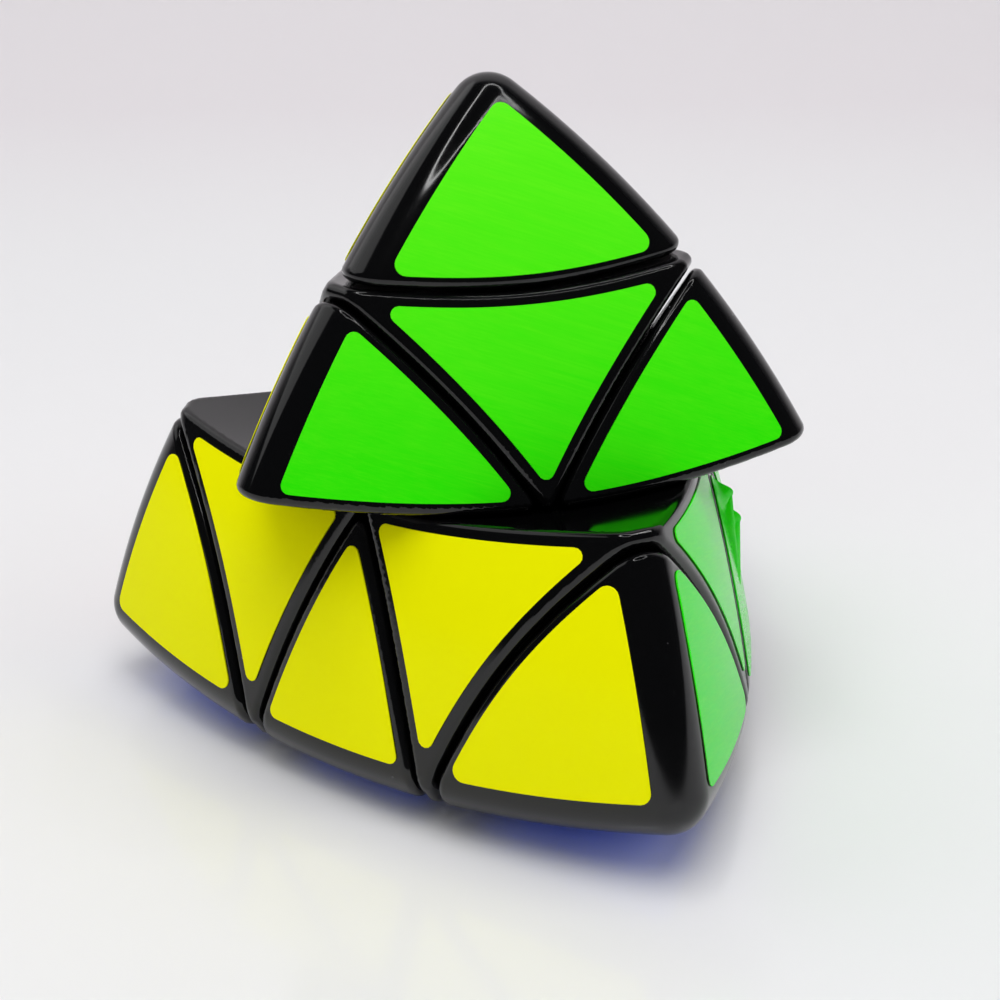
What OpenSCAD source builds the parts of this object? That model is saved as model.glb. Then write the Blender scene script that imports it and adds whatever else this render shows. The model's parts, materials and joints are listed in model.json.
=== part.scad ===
// Pillowed pyramid twisty puzzle, standing on one face with its top layer part turned.
//
// Four corner layers turn about a core with four arms. Each layer is parted from the rest by a
// big, shallow conical cut, and each small tip by a second cut further out. The four corners are
// numbered 0 to 3: top, left, right and back. A face has the number of the corner opposite it,
// so face 3 is the front one, face 1 the right-hand one, face 2 the left-hand one and face 0 the
// base. Heights and cuts are measured from the core's centre along a corner's axis.

/* [Pyramid] */
// Distance from the core's centre to the middle of a face
face_mid = 28; // [27.8:0.1:28.4]
// Radius of the pillowed faces
face_r = 191; // [185:1:200]
// Rounding radius of the six long edges, which sets how much is trimmed from them
edge_round = 5; // [4:0.5:6]

/* [Layers] */
// Height at which a layer's cut meets its corner's axis
layer_cut = 3.5; // [3.4:0.05:3.6]
// Rise of a layer's cut for each millimetre away from the axis
layer_slope = 0.2285; // [0.225:0.0005:0.232]
// Height at which a tip's cut meets its corner's axis
tip_cut = 30.48; // [30.3:0.02:30.8]
// Rise of a tip's cut for each millimetre away from the axis
tip_slope = 0.1822; // [0.18:0.0002:0.185]
// Gap between neighbouring pieces
gap = 0.4; // [0.3:0.05:0.5]
// Angle that the top layer is turned by
layer_turn = -69.21; // [-180:0.01:180]
// Further angle that the top tip is turned by
tip_turn = 2.96; // [-180:0.01:180]

/* [Shells] */
// Wall thickness of the moulded shells
wall = 1.8; // [1.6:0.1:2]
// Thickness of the lid between a centre piece and its tip
lid = 2; // [1.8:0.1:2.2]
// Glue gap between the inner and outer halves of one piece
seam = 0.05; // [0.03:0.01:0.08]

/* [Stickers] */
// Thickness of a sticker
sticker_t = 0.18; // [0.12:0.02:0.25]
// Glue line under a sticker
glue_t = 0.02; // [0.01:0.01:0.03]
// Border between a sticker and a cut, measured along the corner's axis
cut_border = 1.8; // [1.4:0.1:2.2]
// Border between a sticker and the plane through the core and a long edge
edge_border = 3.56; // [3.2:0.02:4]

/* [Mechanism] */
// Radius of the core's ball
core_r = 7.95; // [7.8:0.05:8]
// Radius of the core's arms
arm_r = 2.6; // [2.4:0.05:2.7]
// Height of the arms' ends
arm_end = 16; // [15:0.5:17]
// Radial clearance of a bearing on an arm
bearing_clearance = 0.06; // [0.03:0.01:0.09]
// Radius of the sphere that parts the edge feet from the hub flanges
hook_r = 13; // [12.9:0.1:13.1]
// Thickness of a hub's flange
flange_t = 1.85; // [1.7:0.05:1.9]
// Radius of the bore in a centre piece's lid that a tip's stem turns in
lip_r = 4.75; // [4.6:0.05:4.8]
// Radial clearance of a tip's stem in that bore
stem_clearance = 0.05; // [0.03:0.01:0.08]
// Radius of the axis screws' shanks
screw_r = 1.2; // [1.1:0.05:1.3]
// Height of the underside of the screw heads
screw_seat = 20.6; // [20.2:0.1:21]
// Wire diameter of the springs
wire_d = 0.6; // [0.5:0.05:0.65]
// Turns in a spring
spring_turns = 5; // [4:1:6]

/* [Hidden] */
$fn = 96;
ball_fn = 256;
top = 0;
left = 1;
right = 2;
back = 3;
corners = [top, left, right, back];

plastic = "#161618";
sticker_colour = ["#0a58d6", "#32ea05", "#d81420", "#ebed04"];
white_plastic = "#d8d8d4";
steel = "#b9bcc0";

// The four corner axes of a regular tetrahedron, as unit vectors.
corner_tilt = acos(-1 / 3);
corner_azimuth = [0, 210, 330, 90];
function tilted(azimuth) = [
    sin(corner_tilt) * cos(azimuth),
    sin(corner_tilt) * sin(azimuth),
    cos(corner_tilt)
];
axis = [for (c = corners) c == top ? [0, 0, 1] : tilted(corner_azimuth[c])];

// Half of the gap, as a rise of a cut along its axis.
half_gap = gap / 2 * norm([1, layer_slope]);

// The centre of a face's sphere lies this far along the axis of the opposite corner.
ball_offset = face_r - face_mid;
// Two face spheres have centres this far either side of the drum that trims the edge they share.
half_spread = ball_offset * norm(axis[0] - axis[1]) / 2;
drum_r = sqrt(pow(face_r - edge_round, 2) - pow(half_spread, 2)) + edge_round;
// Centre of the rounding ball at a corner: it touches the three faces from inside.
corner_ball = sqrt(pow(face_r - edge_round, 2) - pow(ball_offset, 2) * 8 / 9) - ball_offset / 3;
corner_reach = corner_ball + edge_round;

// Reach of the cones that stand for the space above a cut.
cone_reach = 60;
block = 200;

rest_height = face_mid + glue_t + sticker_t;

// Inside the hook sphere the layers part along cones through the core's centre.
hook_gap = 0.15;
foot_clearance = 0.2;
foot_inner_r = core_r + foot_clearance;
flange_inner_r = hook_r + hook_gap;
flange_outer_r = flange_inner_r + flange_t;
flange_r = 11.4;
cap_inner_r = flange_outer_r + seam;
neck_h = 1.95;
plug_h = 1.85;
neck_outer_r = flange_outer_r + neck_h;
plug_outer_r = neck_outer_r + plug_h;
// How far solids of one piece run into each other, so that they join.
join = 0.1;

arm_start = 5;
bearing_r = arm_r + bearing_clearance;
bearing_tube_r = 4.2;
spring_floor = 13.5;
spring_bore_r = 3.9;
snap_floor = 24.8;
snap_bore_r = 5.3;
hub_tube_r = 6.6;

washer_t = 0.5;
washer_r = 3.6;
washer_clearance = 0.15;
part_gap = 0.02;
screw_head_r = 3.2;
screw_head_h = 1.8;
screw_start = 6;
screw_clearance = 0.05;
screw_bore_r = screw_r + screw_clearance;
recess_w = 0.7;
recess_span = 3.6;
recess_depth = 1.1;

stem_r = lip_r - stem_clearance;
barb_r = 5.2;
barb_play = 0.06;
barb_top = tip_cut - half_gap - lid + tip_slope * lip_r - barb_play;
barb_h = 2.4;
lead_h = 1.2;
lead_in = 0.7;
stem_bore_r = 3.1;
slot_w = 1.2;
slot_h = 3.4;

spring_r = 3.3;
spring_sides = 6;
spring_steps = 10;
spring_play = 0.05;
spring_base = spring_floor + spring_play;
spring_top = screw_seat - part_gap - washer_t - spring_play;
end_pitch = wire_d + spring_play;
mid_pitch = (spring_top - spring_base - wire_d - 2 * end_pitch) / (spring_turns - 2);

// ---- Placing -------------------------------------------------------------------------------

// Turns the children's +Z on to the direction v.
module aim(v) {
    rotate([0, acos(v.z / norm(v)), atan2(v.y, v.x)])
        children();
}

// Turns the pyramid on to itself, so that its top corner goes to corner c and its back one to b.
module turned_to(c, b) {
    z = axis[c];
    y = (axis[b] + z / 3) / norm(axis[b] + z / 3);
    x = cross(y, z);
    multmatrix([[x.x, y.x, z.x, 0], [x.y, y.y, z.y, 0], [x.z, y.z, z.z, 0], [0, 0, 0, 1]])
        children();
}

// Any other corner than c, to turn a piece of corner c's own by.
function partner(c) = c == top || c == left ? back : top;

// From the core's centre to the part's own frame, whose origin is where it rests.
module placed(turn = 0) {
    translate([0, 0, rest_height])
        rotate([0, 0, turn])
            children();
}

// A tip's piece, drawn at the top corner of the unturned pyramid.
module tip_placed(c, b) {
    placed(c == top ? layer_turn + tip_turn : 0)
        turned_to(c, b)
            children();
}

// A centre's piece, drawn at the top corner of the unturned pyramid.
module axial_placed(c, b) {
    placed(c == top ? layer_turn : 0)
        turned_to(c, b)
            children();
}

// The edge piece between corners a and b, drawn between the left and right corners.
module edge_placed(a, b) {
    far = [for (k = corners) if (k != a && k != b) k];
    placed(a == top || b == top ? layer_turn : 0)
        turned_to(far[0], far[1])
            children();
}

// ---- Cutting surfaces ----------------------------------------------------------------------

// Ball whose surface is the face opposite corner c. Its poles are kept away from that face.
module face_ball(c, r) {
    aim(axis[c])
        translate([0, 0, ball_offset])
            rotate([90, 0, 0])
                sphere(r = r, $fn = ball_fn);
}

// Ball about the core's centre with its poles to the sides.
module lying_ball(r) {
    rotate([90, 0, 0])
        sphere(r = r);
}

// Drum that trims the long edge between the faces opposite corners a and b.
module edge_drum(a, b, r) {
    translate((axis[a] + axis[b]) * ball_offset / 2)
        aim(axis[a] - axis[b])
            cylinder(h = block, r = r, center = true, $fn = ball_fn);
}

// Space above a cut: a cone about corner c's axis with its point at height foot.
module cut_space(c, foot, slope) {
    aim(axis[c])
        translate([0, 0, foot])
            cylinder(h = cone_reach, r1 = 0, r2 = cone_reach / slope);
}

// Space above the cut of corner c's layer, lifted by lift along its axis.
module layer_space(c, lift) {
    cut_space(c, layer_cut + lift, layer_slope);
}

// The same space inside the hook sphere, where the cone's point is at the core's centre.
module hook_space(c, lift) {
    cut_space(c, lift, layer_slope);
}

// Space below the cut of the top layer, lifted by lift.
module under_top_layer(lift) {
    translate([0, 0, layer_cut + lift])
        rotate_extrude()
            polygon([[0, -block], [cone_reach, -block], [cone_reach, cone_reach * layer_slope], [0, 0]]);
}

// Space above the cut of corner c's tip, lifted by lift along its axis.
module tip_space(c, lift) {
    cut_space(c, tip_cut + lift, tip_slope);
}

// The pyramid's top corner, with its faces, edges and end drawn in by inset.
module corner_block(inset) {
    intersection() {
        sphere(r = corner_reach - inset);
        face_ball(left, face_r - inset);
        face_ball(right, face_r - inset);
        face_ball(back, face_r - inset);
        edge_drum(left, right, drum_r - inset);
        edge_drum(right, back, drum_r - inset);
        edge_drum(back, left, drum_r - inset);
    }
}

// The children without what lies above the layer cuts of the three lower corners.
module clear_of_lower_layers(lift) {
    difference() {
        difference() {
            difference() {
                children();
                layer_space(left, lift);
            }
            layer_space(right, lift);
        }
        layer_space(back, lift);
    }
}

// ---- Core and axis hardware ----------------------------------------------------------------

module core() {
    color(white_plastic)
        placed()
            difference() {
                union() {
                    sphere(r = core_r);
                    for (c = corners)
                        aim(axis[c])
                            translate([0, 0, arm_start])
                                cylinder(h = arm_end - arm_start, r = arm_r);
                }
                for (c = corners)
                    aim(axis[c])
                        translate([0, 0, screw_start - join])
                            cylinder(h = arm_end, r = screw_bore_r);
            }
}

module screw() {
    translate([0, 0, screw_start])
        cylinder(h = screw_seat - screw_start + join, r = screw_r);
    translate([0, 0, screw_seat])
        difference() {
            cylinder(h = screw_head_h, r = screw_head_r);
            for (turn = [0, 90])
                rotate([0, 0, turn])
                    translate([-recess_span / 2, -recess_w / 2, screw_head_h - recess_depth])
                        cube([recess_span, recess_w, screw_head_h]);
        }
}

module axis_screws() {
    color(steel)
        placed()
            for (c = corners)
                aim(axis[c])
                    screw();
}

module washer() {
    translate([0, 0, screw_seat - part_gap - washer_t])
        difference() {
            cylinder(h = washer_t, r = washer_r);
            translate([0, 0, -washer_t])
                cylinder(h = 3 * washer_t, r = screw_r + washer_clearance);
        }
}

module spring_washers() {
    color(steel)
        placed()
            for (c = corners)
                aim(axis[c])
                    washer();
}

// Height of the wire's centre after t turns: the two end turns lie nearly closed.
function wire_height(t) =
    spring_base + wire_d / 2
    + end_pitch * (min(t, 1) + max(t - spring_turns + 1, 0))
    + mid_pitch * min(max(t - 1, 0), spring_turns - 2);

function wire_ring(t) = [
    for (k = [0 : spring_sides - 1])
        let (
            a = 360 * t,
            b = 360 * k / spring_sides,
            r = spring_r + wire_d / 2 * cos(b)
        )
        [r * cos(a), r * sin(a), wire_height(t) + wire_d / 2 * sin(b)]
];

module spring() {
    last = spring_turns * spring_steps;
    points = [for (i = [0 : last]) each wire_ring(i / spring_steps)];
    sides = [
        for (i = [0 : last - 1], k = [0 : spring_sides - 1])
            let (
                n = (k + 1) % spring_sides,
                low = i * spring_sides,
                high = low + spring_sides
            )
            [low + k, low + n, high + n, high + k]
    ];
    first_end = [for (k = [spring_sides - 1 : -1 : 0]) k];
    last_end = [for (k = [0 : spring_sides - 1]) last * spring_sides + k];
    polyhedron(points = points, faces = concat(sides, [first_end], [last_end]));
}

module axis_springs() {
    color(steel)
        placed()
            for (c = corners)
                aim(axis[c])
                    spring();
}

// ---- Tips ----------------------------------------------------------------------------------

// Hollow outer shell of a tip, open towards its cut.
module tip_cap(c) {
    color(plastic)
        tip_placed(c, partner(c))
            difference() {
                intersection() {
                    corner_block(0);
                    tip_space(top, half_gap);
                }
                corner_block(wall);
            }
}

// Plate that closes a tip, with the split stem that snaps under the centre piece's lid.
module tip_pivot(c) {
    color(plastic)
        tip_placed(c, partner(c)) {
            difference() {
                intersection() {
                    corner_block(wall + seam);
                    tip_space(top, half_gap);
                }
                tip_space(top, half_gap + lid);
                translate([0, 0, barb_top])
                    cylinder(h = block, r = stem_bore_r);
            }
            snap_stem();
        }
}

module snap_stem() {
    stem_top = tip_cut + half_gap + lid;
    difference() {
        union() {
            translate([0, 0, barb_top - barb_h])
                cylinder(h = stem_top - barb_top + barb_h, r = stem_r);
            translate([0, 0, barb_top - barb_h + lead_h])
                cylinder(h = barb_h - lead_h, r = barb_r);
            translate([0, 0, barb_top - barb_h])
                cylinder(h = lead_h, r1 = barb_r - lead_in, r2 = barb_r);
        }
        translate([0, 0, barb_top - 2 * barb_h])
            cylinder(h = block, r = stem_bore_r);
        for (turn = [0, 90])
            rotate([0, 0, turn])
                translate([-2 * barb_r, -slot_w / 2, barb_top - barb_h - join])
                    cube([4 * barb_r, slot_w, slot_h + join]);
    }
}

// ---- Centre pieces -------------------------------------------------------------------------

// The space of the top centre piece, with its walls drawn in by inset and its lid by lid_inset.
module axial_block(inset, lid_inset) {
    rise = half_gap + inset * norm([1, layer_slope]);
    clear_of_lower_layers(-rise)
        difference() {
            difference() {
                corner_block(inset);
                sphere(r = cap_inner_r - inset);
            }
            tip_space(top, -half_gap - lid_inset);
        }
}

// Outer shell of a centre piece: three faces, three cut walls and the lid under the tip.
module axial_cap(c) {
    color(plastic)
        axial_placed(c, partner(c))
            difference() {
                difference() {
                    axial_block(0, 0);
                    under_top_layer(half_gap);
                }
                axial_block(wall, lid);
                cylinder(h = block, r = lip_r);
            }
}

// Bearing, spring seat and flange inside a centre piece.
module axial_hub(c) {
    color(white_plastic)
        axial_placed(c, partner(c))
            difference() {
                union() {
                    hub_flange();
                    cylinder(h = flange_inner_r + flange_t / 2, r = bearing_tube_r);
                    difference() {
                        translate([0, 0, flange_inner_r])
                            cylinder(h = tip_cut - flange_inner_r, r = hub_tube_r);
                        tip_space(top, -half_gap - lid - seam);
                    }
                }
                sphere(r = foot_inner_r);
                hub_bores();
            }
}

module hub_flange() {
    clear_of_lower_layers(-half_gap)
        difference() {
            intersection() {
                lying_ball(flange_outer_r);
                cylinder(h = block, r = flange_r);
            }
            lying_ball(flange_inner_r);
        }
}

module hub_bores() {
    cylinder(h = block, r = bearing_r);
    translate([0, 0, spring_floor])
        cylinder(h = block, r = spring_bore_r);
    translate([0, 0, snap_floor])
        cylinder(h = block, r = snap_bore_r);
}

// ---- Edge pieces ---------------------------------------------------------------------------

// The space of the edge piece between the left and right corners, drawn in by inset.
module edge_block(inset) {
    rise = half_gap + inset * norm([1, layer_slope]);
    difference() {
        difference() {
            intersection() {
                face_ball(top, face_r - inset);
                face_ball(back, face_r - inset);
                edge_drum(top, back, drum_r - inset);
                layer_space(left, rise);
                layer_space(right, rise);
            }
            tip_space(left, -rise);
        }
        tip_space(right, -rise);
    }
}

// Hollow outer shell of an edge piece, open towards the core.
module edge_cap(a, b) {
    color(plastic)
        edge_placed(a, b)
            difference() {
                difference() {
                    edge_block(0);
                    edge_block(wall);
                }
                sphere(r = neck_outer_r + seam);
            }
}

// Inner half of an edge piece: a foot that hooks under two hub flanges, a neck between the
// flanges and a plug that closes the shell.
module edge_foot(a, b) {
    color(plastic)
        edge_placed(a, b) {
            foot_block();
            foot_stage(hook_r - 2 * hook_gap, neck_outer_r, half_gap);
            foot_stage(neck_outer_r - join, plug_outer_r, half_gap + (wall + seam) * norm([1, layer_slope]));
        }
}

module foot_block() {
    difference() {
        difference() {
            difference() {
                intersection() {
                    sphere(r = hook_r - hook_gap);
                    hook_space(left, hook_gap);
                    hook_space(right, hook_gap);
                }
                hook_space(top, -hook_gap);
            }
            hook_space(back, -hook_gap);
        }
        sphere(r = foot_inner_r);
    }
}

module foot_stage(inner_r, outer_r, rise) {
    difference() {
        intersection() {
            sphere(r = outer_r);
            layer_space(left, rise);
            layer_space(right, rise);
        }
        sphere(r = inner_r);
    }
}

// ---- Stickers ------------------------------------------------------------------------------

// The part of the children that lies in the film over the front face.
module front_film() {
    difference() {
        intersection() {
            sphere(r = corner_reach);
            face_ball(back, face_r + glue_t + sticker_t);
            children();
        }
        face_ball(back, face_r + glue_t);
    }
}

// Half space of the front face on corner c's side, back from the edge that it doesn't share.
module beside_edge(c) {
    aim(axis[c] - axis[back])
        translate([-block / 2, -block / 2, edge_border])
            cube(block);
}

module tip_sticker(c, f) {
    color(sticker_colour[f])
        tip_placed(c, f)
            front_film()
                intersection() {
                    tip_space(top, cut_border);
                    beside_edge(left);
                    beside_edge(right);
                }
}

module axial_sticker(c, f) {
    color(sticker_colour[f])
        axial_placed(c, f)
            difference() {
                difference() {
                    difference() {
                        front_film()
                            layer_space(top, half_gap);
                        tip_space(top, -cut_border);
                    }
                    layer_space(left, -cut_border);
                }
                layer_space(right, -cut_border);
            }
}

// The sticker of the edge piece between corners a and b, drawn low on the front face.
module edge_sticker(a, b, f) {
    third = [for (k = corners) if (k != a && k != b && k != f) k];
    color(sticker_colour[f])
        placed(a == top ? layer_turn : 0)
            turned_to(third[0], f)
                front_film()
                    intersection() {
                        layer_space(left, cut_border);
                        layer_space(right, cut_border);
                        beside_edge(top);
                    }
}

module top_layer_stickers(f) {
    axial_sticker(top, f);
    for (k = [left, right, back])
        if (k != f)
            edge_sticker(top, k, f);
}

module base_stickers(f) {
    lower = [left, right, back];
    for (c = lower)
        if (c != f)
            axial_sticker(c, f);
    for (i = [0 : 2])
        if (lower[i] != f && lower[(i + 1) % 3] != f)
            edge_sticker(lower[i], lower[(i + 1) % 3], f);
}

core();
axis_screws();
spring_washers();
axis_springs();
tip_cap(top);  // tip_cap_top
tip_cap(left);  // tip_cap_left
tip_cap(right);  // tip_cap_right
tip_cap(back);  // tip_cap_back
tip_pivot(top);  // tip_pivot_top
tip_pivot(left);  // tip_pivot_left
tip_pivot(right);  // tip_pivot_right
tip_pivot(back);  // tip_pivot_back
axial_cap(top);  // axial_cap_top
axial_cap(left);  // axial_cap_left
axial_cap(right);  // axial_cap_right
axial_cap(back);  // axial_cap_back
axial_hub(top);  // axial_hub_top
axial_hub(left);  // axial_hub_left
axial_hub(right);  // axial_hub_right
axial_hub(back);  // axial_hub_back
edge_cap(top, left);  // edge_cap_top_left
edge_cap(top, right);  // edge_cap_top_right
edge_cap(top, back);  // edge_cap_top_back
edge_cap(left, right);  // edge_cap_left_right
edge_cap(right, back);  // edge_cap_right_back
edge_cap(back, left);  // edge_cap_back_left
edge_foot(top, left);  // edge_foot_top_left
edge_foot(top, right);  // edge_foot_top_right
edge_foot(top, back);  // edge_foot_top_back
edge_foot(left, right);  // edge_foot_left_right
edge_foot(right, back);  // edge_foot_right_back
edge_foot(back, left);  // edge_foot_back_left
tip_sticker(top, back);  // tip_top_sticker_yellow
tip_sticker(top, left);  // tip_top_sticker_green
tip_sticker(top, right);  // tip_top_sticker_red
tip_sticker(left, back);  // tip_left_sticker_yellow
tip_sticker(left, right);  // tip_left_sticker_red
tip_sticker(left, top);  // tip_left_sticker_blue
tip_sticker(right, back);  // tip_right_sticker_yellow
tip_sticker(right, left);  // tip_right_sticker_green
tip_sticker(right, top);  // tip_right_sticker_blue
tip_sticker(back, left);  // tip_back_sticker_green
tip_sticker(back, right);  // tip_back_sticker_red
tip_sticker(back, top);  // tip_back_sticker_blue
top_layer_stickers(back);  // top_layer_stickers_yellow
top_layer_stickers(left);  // top_layer_stickers_green
top_layer_stickers(right);  // top_layer_stickers_red
base_stickers(back);  // base_stickers_yellow
base_stickers(left);  // base_stickers_green
base_stickers(right);  // base_stickers_red
base_stickers(top);  // base_stickers_blue
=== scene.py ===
"""Looks of a pillowed pyramid twisty puzzle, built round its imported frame.

Lengths that describe the puzzle are in millimetres from the core's centre, with the top layer not
yet turned. A piece is drawn once, at the top corner or between the left and right ones, and then
turned to each of its places and put into the frame in metres.
"""

from __future__ import annotations

import itertools
import json
import logging
import math
from dataclasses import dataclass, field, replace
from enum import Enum
from typing import Any, Callable, Sequence

import bpy
import numpy as np
from mathutils import Matrix, Vector

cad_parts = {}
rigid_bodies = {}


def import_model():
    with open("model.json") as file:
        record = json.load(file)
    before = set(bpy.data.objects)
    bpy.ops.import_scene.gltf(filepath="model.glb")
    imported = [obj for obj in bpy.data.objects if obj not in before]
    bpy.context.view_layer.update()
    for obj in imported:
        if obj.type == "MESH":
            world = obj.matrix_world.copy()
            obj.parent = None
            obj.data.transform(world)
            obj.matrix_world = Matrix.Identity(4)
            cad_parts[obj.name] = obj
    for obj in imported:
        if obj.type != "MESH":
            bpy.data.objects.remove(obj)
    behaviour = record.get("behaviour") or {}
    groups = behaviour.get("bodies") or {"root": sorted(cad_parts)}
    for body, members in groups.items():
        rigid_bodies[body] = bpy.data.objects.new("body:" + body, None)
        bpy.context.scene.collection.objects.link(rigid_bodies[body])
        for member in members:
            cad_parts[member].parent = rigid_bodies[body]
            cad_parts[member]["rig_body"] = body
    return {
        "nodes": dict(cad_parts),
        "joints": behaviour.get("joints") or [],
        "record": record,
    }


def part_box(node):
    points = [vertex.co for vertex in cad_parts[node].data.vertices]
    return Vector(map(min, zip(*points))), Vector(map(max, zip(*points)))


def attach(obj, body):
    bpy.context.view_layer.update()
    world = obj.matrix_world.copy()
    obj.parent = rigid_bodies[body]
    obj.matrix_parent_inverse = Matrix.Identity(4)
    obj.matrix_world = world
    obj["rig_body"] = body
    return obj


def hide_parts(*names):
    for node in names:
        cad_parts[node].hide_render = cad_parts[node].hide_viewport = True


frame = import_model()

LOG = logging.getLogger("pyramid")
MM = 0.001
TINY = 1e-9
Array = np.ndarray
Colour = tuple[float, float, float]


# ---- The pyramid's corners and colours -----------------------------------------------------------


class Corner(Enum):
    """A corner of the pyramid, with the azimuth of its axis in degrees."""

    TOP = None
    LEFT = 210.0
    RIGHT = 330.0
    BACK = 90.0

    @property
    def axis(self) -> Array:
        """Unit vector from the core's centre towards this corner."""
        if self.value is None:
            return np.array([0.0, 0.0, 1.0])
        azimuth = math.radians(self.value)
        level = math.sqrt(8) / 3
        return np.array([level * math.cos(azimuth), level * math.sin(azimuth), -1 / 3])

    @property
    def word(self) -> str:
        """This corner's name as the frame's nodes spell it."""
        return self.name.lower()

    @property
    def partner(self) -> Corner:
        """The corner that the back one goes to when the top one is turned to this one."""
        return Corner.TOP if self is Corner.BACK else Corner.BACK


class Hue(Enum):
    """A sticker colour, with the corner opposite the face that wears it."""

    YELLOW = Corner.BACK
    GREEN = Corner.LEFT
    RED = Corner.RIGHT
    BLUE = Corner.TOP

    @property
    def word(self) -> str:
        """This colour's name as the frame's nodes spell it."""
        return self.name.lower()


LOWER = (Corner.LEFT, Corner.RIGHT, Corner.BACK)
EDGES = (
    (Corner.TOP, Corner.LEFT),
    (Corner.TOP, Corner.RIGHT),
    (Corner.TOP, Corner.BACK),
    (Corner.LEFT, Corner.RIGHT),
    (Corner.RIGHT, Corner.BACK),
    (Corner.BACK, Corner.LEFT),
)


def turned_to(corner: Corner, partner: Corner) -> Array:
    """Gives the rotation that takes the top corner to one corner and the back one to another.

    Args:
        corner: Where the top corner goes.
        partner: Where the back corner goes.

    Returns:
        A 3 by 3 rotation matrix.
    """
    z = corner.axis
    y = partner.axis + z / 3
    y /= np.linalg.norm(y)
    return np.stack([np.cross(y, z), y, z], axis=1)


def about_z(degrees: float) -> Array:
    """Gives the 3 by 3 matrix of a turn about +Z.

    Args:
        degrees: The angle of the turn.

    Returns:
        The rotation matrix.
    """
    angle = math.radians(degrees)
    return np.array(
        [
            [math.cos(angle), -math.sin(angle), 0.0],
            [math.sin(angle), math.cos(angle), 0.0],
            [0.0, 0.0, 1.0],
        ]
    )


# ---- Surfaces ------------------------------------------------------------------------------------


@dataclass(frozen=True)
class Skin:
    """How some points lie to a surface.

    Attributes:
        depth: Each point's distance to the surface, below 0 inside it.
        outward: The unit vector straight away from the surface's inside, at each point.
    """

    depth: Array
    outward: Array

    def __neg__(self) -> Skin:
        """The same surface with its inside and outside exchanged."""
        return Skin(-self.depth, -self.outward)

    def drawn_in(self, inset: float) -> Skin:
        """The surface that lies inset further in."""
        return Skin(self.depth + inset, self.outward)


def meet(skins: Sequence[Skin], rounding: float, margin: float = 1.5) -> Skin:
    """Joins surfaces into the skin of the space inside all of them, with rounded edges.

    Near each point the surfaces are taken as flat. The nearest point of the space they bound, drawn
    in by the rounding, then lies on one of them, where two meet or where three meet.

    Args:
        skins: The surfaces, all for the same points.
        rounding: Radius of the rounded edges and corners.
        margin: How far outside the space the rounding has to hold.

    Returns:
        The joined skin.
    """
    depths = np.stack([skin.depth + rounding for skin in skins])
    outwards = np.stack([skin.outward for skin in skins])
    leader = depths.argmax(axis=0)
    everyone = np.arange(depths.shape[1])
    depth = depths[leader, everyone]
    outward = outwards[leader, everyone]
    reach = rounding + margin
    near = np.nonzero((depth > 0) & (depth < reach))[0]
    for count in (2, 3):
        for group in itertools.combinations(range(len(skins)), count):
            chosen = near[(depths[np.ix_(group, near)] > -reach).all(axis=0)]
            if len(chosen) == 0:
                continue
            heights = depths[np.ix_(group, chosen)].T
            normals = outwards[np.ix_(group, chosen)].transpose(1, 0, 2)
            gram = normals @ normals.transpose(0, 2, 1) + 1e-6 * np.eye(count)
            weights = np.linalg.solve(gram, heights[:, :, None])[:, :, 0]
            distance = np.sqrt(np.maximum((weights * heights).sum(axis=1), 0.0))
            better = (weights >= 0).all(axis=1) & (distance > depth[chosen])
            picked = chosen[better]
            aim = (weights[better][:, :, None] * normals[better]).sum(axis=1)
            depth[picked] = distance[better]
            outward[picked] = aim / np.linalg.norm(aim, axis=1, keepdims=True)
    return Skin(depth - rounding, outward)


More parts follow.
